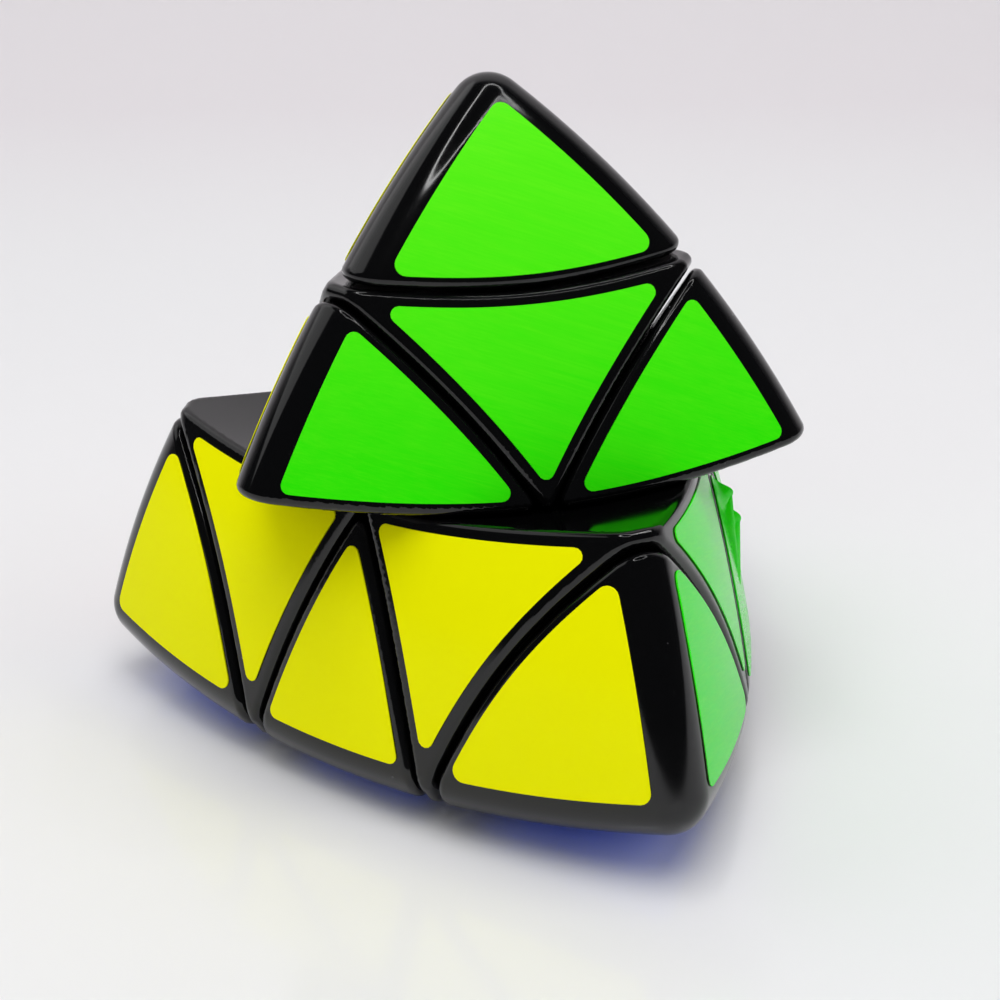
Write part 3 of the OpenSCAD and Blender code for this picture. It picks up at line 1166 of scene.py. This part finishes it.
    def draw(self, kind: Patch) -> Sheet:
        """Draws a kind of sticker: a domed film with a soft cut edge and a flat underside.

        Args:
            kind: Which sticker.

        Returns:
            The closed mesh.
        """
        centre = self.centre_of(kind)
        across = np.cross(centre, [0.0, 0.0, 1.0])
        across /= np.linalg.norm(across)
        up = np.cross(across, centre)
        angle = np.linspace(0.0, 2 * math.pi, 4 * self.rays, endpoint=False)[:, None]
        ways = np.cos(angle) * across + np.sin(angle) * up
        near, far = np.zeros((len(ways), 1)), np.full((len(ways), 1), self.farthest)
        for _ in range(self.halvings):
            guess = (near + far) / 2
            spokes = np.cos(guess) * centre + np.sin(guess) * ways
            inside = self.outline_depth(spokes, kind)[:, None] < 0
            near, far = np.where(inside, guess, near), np.where(inside, far, guess)
        reach, ways = self._evened(near, ways, centre)
        return self._film(centre, ways, reach)

    def _evened(self, reach: Array, ways: Array, centre: Array) -> tuple[Array, Array]:
        """Spaces an outline's points evenly along it.

        Args:
            reach: Angle from the centre to each point of the outline.
            ways: The direction each point lies in.
            centre: The direction of the sticker's centre.

        Returns:
            The evened reaches and ways.
        """
        outline = np.cos(reach) * centre + np.sin(reach) * ways
        steps = np.linalg.norm(np.roll(outline, -1, axis=0) - outline, axis=1)
        walked = np.concatenate([[0.0], np.cumsum(steps)])
        stations = np.linspace(0.0, walked[-1], self.rays, endpoint=False)
        closed = np.concatenate([outline, outline[:1]])
        even = np.stack([np.interp(stations, walked, closed[:, k]) for k in range(3)], axis=1)
        even /= np.linalg.norm(even, axis=1, keepdims=True)
        cosine = even @ centre
        level = even - cosine[:, None] * centre
        length = np.linalg.norm(level, axis=1, keepdims=True)
        return np.arctan2(length, cosine[:, None]), level / length

    def _film(self, centre: Array, ways: Array, reach: Array) -> Sheet:
        """Makes a film's mesh from its outline.

        Args:
            centre: The direction of the sticker's centre.
            ways: The direction each outline point lies in, from the centre.
            reach: The angle to each outline point.

        Returns:
            The closed mesh.
        """
        radius = self.form.face_radius
        top = self.glue + self.thickness
        soft = self.bevel / radius
        loops = [(share, 0.0, top, 1.0) for share in np.linspace(0.0, 1.0, self.rings + 1)[1:-1]]
        loops += [(1.0, soft, top, 1.0), (1.0, 0.0, top - self.bevel, 0.25)]
        loops += [(1.0, 0.0, self.glue, 0.0), (1.0, soft, self.glue, -1.0)]
        points, normals = [], []
        for share, inset, lift, tilt in loops:
            angle = reach * share - inset
            spoke = np.cos(angle) * centre + np.sin(angle) * ways
            points.append(self.on_face(spoke, lift))
            outward = -np.sin(angle) * centre + np.cos(angle) * ways
            normals.append(tilt * spoke + (1 - abs(tilt)) * outward)
        count = len(ways)
        caps = np.stack([self.on_face(centre, top), self.on_face(centre, self.glue)])
        places = np.concatenate([*points, caps])
        facing = np.concatenate([*normals, np.stack([centre, -centre])])
        facing /= np.linalg.norm(facing, axis=1, keepdims=True)
        faces: list[list[int]] = []
        summit = len(loops) * count
        for k in range(count):
            after = (k + 1) % count
            faces.append([summit, after, k])
            for loop in range(len(loops) - 1):
                low, high = loop * count, (loop + 1) * count
                faces.append([low + k, low + after, high + after, high + k])
            faces.append([summit + 1, summit - count + k, summit - count + after])
        return Sheet(places, faces, facing)

    def curled(self, points: Array) -> Array:
        """Moves points of the edge's sticker to where its worn left side has curled up.

        Args:
            points: Points of the sticker where it still lay flat.

        Returns:
            The moved points.
        """
        summit = self.middle + self.form.face_radius * self.apex
        run = (np.linalg.norm(points - summit, axis=1) - self.curl_start) / self.curl_run
        wall = -self.form.below_layer(points, Corner.LEFT, self.edge_border).depth
        near = np.clip(1.0 + wall / self.curl_width, 0.0, 1.0)
        swell = np.sin(math.pi * np.clip(run, 0.0, 1.0)) ** 0.7
        waves = 0.68 - 0.32 * np.cos(4 * math.pi * np.clip(run, 0.0, 1.0))
        lift = self.curl_height * near**1.6 * swell * waves
        outward = points - self.middle
        outward /= np.linalg.norm(outward, axis=1, keepdims=True)
        return points + lift[:, None] * outward

    def worn_edge(self) -> Sheet:
        """Draws the edge's sticker finely and curls its left side up near its point."""
        flat = replace(self, rays=2 * self.rays, rings=8 * self.rings).draw(Patch.EDGE)
        step = 0.001
        helper = np.where(np.abs(flat.normals[:, :1]) < 0.9, [[1.0, 0.0, 0.0]], [[0.0, 1.0, 0.0]])
        along = np.cross(flat.normals, helper)
        along /= np.linalg.norm(along, axis=1, keepdims=True)
        across = np.cross(flat.normals, along)
        start = self.curled(flat.points)
        tangents = [self.curled(flat.points + step * way) - start for way in (along, across)]
        facing = np.cross(*tangents)
        facing /= np.linalg.norm(facing, axis=1, keepdims=True)
        return Sheet(start, flat.faces, facing)

    def flat_sheet(self, kind: Patch) -> Sheet:
        """A kind of sticker where it is drawn, on the front face."""
        if kind not in self.sheets:
            self.sheets[kind] = self.draw(kind)
        return self.sheets[kind]

    def placed(self, kind: Patch, corner: Corner, hue: Hue) -> Sheet:
        """A sticker of one kind turned to its face, above or opposite a corner of it."""
        return self.flat_sheet(kind).turned(turned_to(corner, hue.value))

    def fit_node(
        self, node: str, sheets: Sequence[Sheet], turn: Array, film: bpy.types.Material
    ) -> None:
        """Fits all of one node's stickers as one piece."""
        slot = "sticker_" + node.rsplit("_", 1)[1]
        self.fitter.fit(f"film_{node}", joined(sheets).turned(turn), film, node, slot)

    def build(self, films: Callable[[Hue, bool], bpy.types.Material]) -> None:
        """Makes every sticker.

        Args:
            films: Gives the material for a hue, on the turned layers or on the others.
        """
        for hue in Hue:
            own = [corner for corner in Corner if corner is not hue.value]
            for corner in own:
                is_top = corner is Corner.TOP
                sheet = self.placed(Patch.TIP, corner, hue)
                node = f"tip_{corner.word}_sticker_{hue.word}"
                self.fit_node(node, [sheet], self.form.turn_of(is_top, is_top), films(hue, is_top))
            lower = [corner for corner in own if corner is not Corner.TOP]
            base = [self.placed(Patch.CENTRE, corner, hue) for corner in lower]
            if hue is Hue.BLUE:
                base += [self.placed(Patch.EDGE, corner, hue) for corner in lower]
            else:
                lowest = self.worn_edge() if hue is Hue.GREEN else self.flat_sheet(Patch.EDGE)
                base.append(lowest.turned(turned_to(Corner.TOP, hue.value)))
                turned = [self.placed(Patch.CENTRE, Corner.TOP, hue)]
                turned += [self.placed(Patch.EDGE, corner, hue) for corner in lower]
                node = f"top_layer_stickers_{hue.word}"
                self.fit_node(node, turned, self.form.turn_of(True), films(hue, True))
            self.fit_node(f"base_stickers_{hue.word}", base, np.eye(3), films(hue, False))


# ---- Works inside --------------------------------------------------------------------------------


@dataclass
class InnerWorks:
    """Dresses the frame's own nodes that stay in view between the shells.

    Attributes:
        finishes: The material for each of the record's slots that these nodes use.
    """

    finishes: dict[str, bpy.types.Material]

    def build(self) -> None:
        """Gives every node that is still shown the finish of its slot."""
        slots = {part["node"]: part["material_slot"] for part in frame["record"]["subparts"]}
        for name, node in frame["nodes"].items():
            if slots[name] not in self.finishes:
                continue
            node.data.materials.clear()
            node.data.materials.append(self.finishes[slots[name]])
            LOG.info("%s: dressed", name)


# ---- Studio --------------------------------------------------------------------------------------


@dataclass(frozen=True)
class Softbox:
    """A rectangular lamp that points at the puzzle.

    Attributes:
        name: The lamp's name.
        azimuth: Its azimuth seen from the puzzle, in degrees.
        elevation: Its elevation seen from the puzzle, in degrees.
        reach: Its distance from the puzzle, in metres.
        size: Its width and height, in metres.
        power: Its power in watts.
        is_mirrored: Whether glossy surfaces show it.
    """

    name: str
    azimuth: float
    elevation: float
    reach: float
    size: tuple[float, float]
    power: float
    is_mirrored: bool


@dataclass
class Studio:
    """The floor, backdrop, lights and camera.

    Attributes:
        eye: Where the camera stands, in metres.
        right: The camera's right.
        down: The camera's down.
        lens: Focal length, in millimetres.
        sensor: Width of the sensor, in millimetres.
        nearest: How near the camera still sees, in metres.
        floor_run: How far behind the puzzle the floor stays level, in metres.
        sweep: Radius of the curve from floor to backdrop, in metres.
        sweep_steps: How many points that curve is drawn with.
        wall_height: How high the backdrop goes, in metres.
        half_width: Half the width of the floor, in metres.
        floor_colour: The colour of the floor's white sheet.
        far_colour: Its colour where it has curved up by the rise, darker and pinker than the floor:
            painted shade of the backdrop with its pink tint.
        rise: Height at which the floor has taken its painted backdrop shade, in metres.
        floor_mirror: The share of light that the sheet mirrors.
        floor_gloss: The roughness of what it mirrors.
        ring_place: The strip ring's azimuth and elevation in degrees, and its distance in metres.
        ring_radius: Its radius, in metres.
        lamps: How many lamps it has.
        lamp_width: Width of each of them, in metres.
        lamp_strength: How strongly each of them shines.
        room_colour: The colour of the dim light from all round.
        room_strength: The strength of that light.
        end_colour: What the camera sees past the floor's end.
        boxes: The softboxes.
    """

    eye: tuple[float, float, float] = (0.12857, -0.17422, 0.12436)
    right: tuple[float, float, float] = (0.80988, 0.58649, -0.01146)
    down: tuple[float, float, float] = (0.22970, -0.33504, -0.91377)
    lens: float = 65.03
    sensor: float = 36.0
    nearest: float = 0.01
    floor_run: float = 0.18
    sweep: float = 0.40
    sweep_steps: int = 48
    wall_height: float = 2.2
    half_width: float = 2.5
    floor_colour: Colour = (0.82, 0.82, 0.83)
    far_colour: Colour = (0.78, 0.75, 0.773)
    rise: float = 0.018
    floor_mirror: float = 0.06
    floor_gloss: float = 0.12
    ring_place: tuple[float, float, float] = (-6.0, 74.0, 0.45)
    ring_radius: float = 0.16
    lamps: int = 72
    lamp_width: float = 0.012
    lamp_strength: float = 14.0
    room_colour: Colour = (0.90, 0.93, 1.0)
    room_strength: float = 0.05
    end_colour: Colour = (0.80, 0.79, 0.80)
    boxes: tuple[Softbox, ...] = (
        Softbox("overhead", -58.0, 74.0, 1.3, (1.0, 1.0), 11.0, False),
        Softbox("front_fill", -80.0, 38.0, 1.1, (0.9, 0.6), 1.6, False),
        Softbox("right_fill", 25.0, 35.0, 1.1, (0.8, 0.6), 2.4, False),
        Softbox("left_wall", -160.0, 42.0, 0.9, (0.8, 0.6), 1.2, True),
    )

    def camera(self) -> None:
        """Sets up the camera."""
        data = bpy.data.cameras.new("camera")
        data.lens = self.lens
        data.sensor_width = self.sensor
        data.clip_start = self.nearest
        camera = bpy.data.objects.new("camera", data)
        bpy.context.scene.collection.objects.link(camera)
        right, up = Vector(self.right).normalized(), -Vector(self.down).normalized()
        back = right.cross(up).normalized()
        turn = Matrix((right, up, back)).transposed()
        camera.matrix_world = Matrix.Translation(Vector(self.eye)) @ turn.to_4x4()
        bpy.context.scene.camera = camera

    def away(self) -> Vector:
        """The level direction from the camera to the puzzle."""
        return Vector((-self.eye[0], -self.eye[1], 0.0)).normalized()

    def backdrop(self) -> None:
        """Makes the floor and the backdrop as one curved sheet."""
        away = self.away()
        across = away.cross(Vector((0.0, 0.0, 1.0)))
        curve = [
            (self.floor_run + self.sweep * math.sin(a), self.sweep * (1 - math.cos(a)))
            for a in np.linspace(0.0, math.pi / 2, self.sweep_steps)
        ]
        profile = [(-self.half_width, 0.0), *curve, (self.floor_run + self.sweep, self.wall_height)]
        rows = [
            [tuple(away * run + across * side + Vector((0.0, 0.0, rise))) for run, rise in profile]
            for side in (-self.half_width, self.half_width)
        ]
        count = len(profile)
        faces = [[k, k + 1, count + k + 1, count + k] for k in range(count - 1)]
        data = bpy.data.meshes.new("floor")
        data.from_pydata(rows[0] + rows[1], [], faces)
        for polygon in data.polygons:
            polygon.use_smooth = True
        data.materials.append(self.floor_material())
        floor = bpy.data.objects.new("floor", data)
        bpy.context.scene.collection.objects.link(floor)

    def floor_material(self) -> bpy.types.Material:
        """Glossy white sheet that mirrors softly, painted darker and pinker where it curves up into
        the backdrop.
        """
        graph = Graph.of_material("white_sheet")
        # Painted shade: above the rise the sheet is painted darker and pinker, standing in for the
        # backdrop's falloff of light.
        limits = {"Value": graph.height(), "From Max": self.rise}
        backdrop_shade_mask = graph.node("MapRange", "Result", {}, limits)
        colour = graph.mix(backdrop_shade_mask, self.floor_colour, self.far_colour)
        matte = graph.node("BsdfDiffuse", "BSDF", {}, {"Color": colour})
        mirror_inputs = {"Color": colour, "Roughness": self.floor_gloss}
        mirror = graph.node("BsdfGlossy", "BSDF", {}, mirror_inputs)
        sides = {"Fac": self.floor_mirror, "Shader": matte, "Shader_001": mirror}
        return graph.finished(graph.node("MixShader", "Shader", {}, sides))

    def light(self, box: Softbox) -> None:
        """Hangs a softbox.

        Args:
            box: The softbox.
        """
        data = bpy.data.lights.new(box.name, "AREA")
        data.shape = "RECTANGLE"
        data.size, data.size_y = box.size
        data.energy = box.power
        place = self.from_azimuth(box.azimuth, box.elevation, box.reach)
        lamp = bpy.data.objects.new(box.name, data)
        bpy.context.scene.collection.objects.link(lamp)
        lamp.location = place
        lamp.rotation_mode = "QUATERNION"
        lamp.rotation_quaternion = (place - self.target).to_track_quat("Z", "Y")
        lamp.visible_glossy = box.is_mirrored

    @property
    def target(self) -> Vector:
        """The point that the lamps point at, in the middle of the puzzle."""
        return Vector((0.0, 0.0, frame["joints"][0]["pos_m"][2]))

    def strip_ring(self) -> None:
        """Hangs a ring of small square lamps, which rounded edges mirror as thin dotted loops."""
        place = self.from_azimuth(*self.ring_place)
        radius = self.ring_radius
        glow = {"Emission Color": (1.0, 1.0, 1.0, 1.0), "Emission Strength": self.lamp_strength}
        points, faces = [], []
        for k in range(self.lamps):
            angle = 2 * math.pi * k / self.lamps
            along = Vector((-math.sin(angle), math.cos(angle), 0.0)) * self.lamp_width / 2
            across = Vector((math.cos(angle), math.sin(angle), 0.0))
            corners = [across * (radius + self.lamp_width * side) for side in (-0.5, 0.5)]
            start = len(points)
            inner, outer = corners
            points += [inner - along, inner + along, outer + along, outer - along]
            faces.append([start, start + 1, start + 2, start + 3])
        data = bpy.data.meshes.new("strip_ring")
        data.from_pydata([tuple(point + place) for point in points], [], faces)
        data.materials.append(Graph.of_material("strip_lamp").surface(glow))
        ring = bpy.data.objects.new("strip_ring", data)
        bpy.context.scene.collection.objects.link(ring)
        ring.visible_camera = False

    def from_azimuth(self, azimuth: float, elevation: float, reach: float) -> Vector:
        """The point that lies some way from the puzzle.

        Args:
            azimuth: Its azimuth, in degrees.
            elevation: Its elevation, in degrees.
            reach: Its distance, in metres.

        Returns:
            The point, in metres.
        """
        level, climb = math.radians(azimuth), math.radians(elevation)
        run = math.cos(climb)
        way = Vector((math.cos(level) * run, math.sin(level) * run, math.sin(climb)))
        return self.target + reach * way

    def world(self) -> None:
        """Sets a dim room that looks pale where the floor ends."""
        world = bpy.data.worlds.new("room")
        bpy.context.scene.world = world
        graph = Graph(world)
        is_seen = graph.node("LightPath", "Is Camera Ray", {}, {})
        dim_inputs = {"Color": (*self.room_colour, 1.0), "Strength": self.room_strength}
        dim = graph.node("Background", "Background", {}, dim_inputs)
        pale = graph.node("Background", "Background", {}, {"Color": (*self.end_colour, 1.0)})
        sides = {"Fac": is_seen, "Shader": dim, "Shader_001": pale}
        graph.finished(graph.node("MixShader", "Shader", {}, sides))

    def build(self) -> None:
        """Sets up everything round the puzzle."""
        bpy.context.scene.view_settings.view_transform = "Standard"
        self.camera()
        self.backdrop()
        self.world()
        for box in self.boxes:
            self.light(box)
        self.strip_ring()
        LOG.info("studio: camera, floor and lights")


# ---- The whole puzzle ----------------------------------------------------------------------------


@dataclass
class FilmShelf:
    """Keeps one film material for each hue and each way its scratches lie.

    Attributes:
        form: The pyramid's faces and cuts.
        scratch_tilt: How steeply the scratches climb across a face, in degrees.
        made: The materials made so far.
    """

    form: PyramidForm
    scratch_tilt: float = -22.0
    made: dict[tuple[Hue, bool], bpy.types.Material] = field(default_factory=dict)

    def film(self, hue: Hue, is_turned: bool) -> bpy.types.Material:
        """Gives the film of a hue for the turned layers or for the others."""
        if (hue, is_turned) not in self.made:
            self.made[(hue, is_turned)] = self._finish(hue, is_turned).material()
        return self.made[(hue, is_turned)]

    def _finish(self, hue: Hue, is_turned: bool) -> VinylFilm:
        """Chooses a hue's colours, wear, painted top sheen and scratch direction.

        Args:
            hue: The colour.
            is_turned: Whether the film is on the turned top layer.

        Returns:
            The finish.
        """
        colours: dict[Hue, tuple[Colour, Colour]] = {
            Hue.YELLOW: ((0.97, 0.97, 0.0005), (0.98, 0.98, 0.002)),
            Hue.GREEN: ((0.004, 0.82, 0.0003), (0.13, 0.92, 0.012)),
            Hue.RED: ((0.62, 0.006, 0.012), (0.70, 0.03, 0.03)),
            Hue.BLUE: ((0.002, 0.12, 0.95), (0.02, 0.16, 0.97)),
        }
        base, light = colours[hue]
        out = -hue.value.axis
        level = np.cross([0.0, 0.0, 1.0], out)
        if np.linalg.norm(level) < 1e-6:
            level = np.array([1.0, 0.0, 0.0])
        level /= np.linalg.norm(level)
        up = np.cross(out, level)
        tilt = math.radians(self.scratch_tilt)
        along = self.form.turn_of(is_turned) @ (math.cos(tilt) * level + math.sin(tilt) * up)
        is_green = hue is Hue.GREEN
        # Painted highlight: green films get a strong painted sheen towards the top, the other hues a
        # faint one.
        scratched, faded, gloss = (0.6, 0.8, 0.14) if is_green else (0.2, 0.1, 0.10)
        return VinylFilm(
            name=f"vinyl_{hue.word}" + ("_turned" if is_turned else ""),
            colour=base,
            light=light,
            along=tuple(along),
            out=tuple(self.form.turn_of(is_turned) @ out),
            scratched=scratched,
            faded=faded,
            gloss=gloss,
            index=1.3 if is_green and not is_turned else 1.12,
        )


def main() -> None:
    """Builds the puzzle and its studio."""
    logging.basicConfig(level=logging.INFO, format="%(message)s")
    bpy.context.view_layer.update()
    Studio().build()
    form = PyramidForm()
    fitter = Fitter(frame["joints"][0]["pos_m"][2])
    mesher = Mesher()
    plastic = PolishedPlastic().material()
    TipShells(form, mesher, fitter, plastic).build()
    CentreShells(form, mesher, fitter, plastic).build()
    EdgeShells(form, mesher, fitter, plastic).build()
    shelf = FilmShelf(form)
    Stickers(form, fitter).build(shelf.film)
    dark, dark_worn = (0.012, 0.012, 0.013), (0.03, 0.03, 0.03)
    white, white_worn = (0.66, 0.66, 0.63), (0.55, 0.55, 0.53)
    finishes = {
        "inner_plastic": MouldedPlastic("inner_black_plastic", dark, dark_worn, 0.45),
        "core_plastic": MouldedPlastic("bearing_plastic", white, white_worn, 0.4),
        "steel": PlatedSteel(),
    }
    InnerWorks({slot: finish.material() for slot, finish in finishes.items()}).build()


if __name__ == "__main__":
    main()
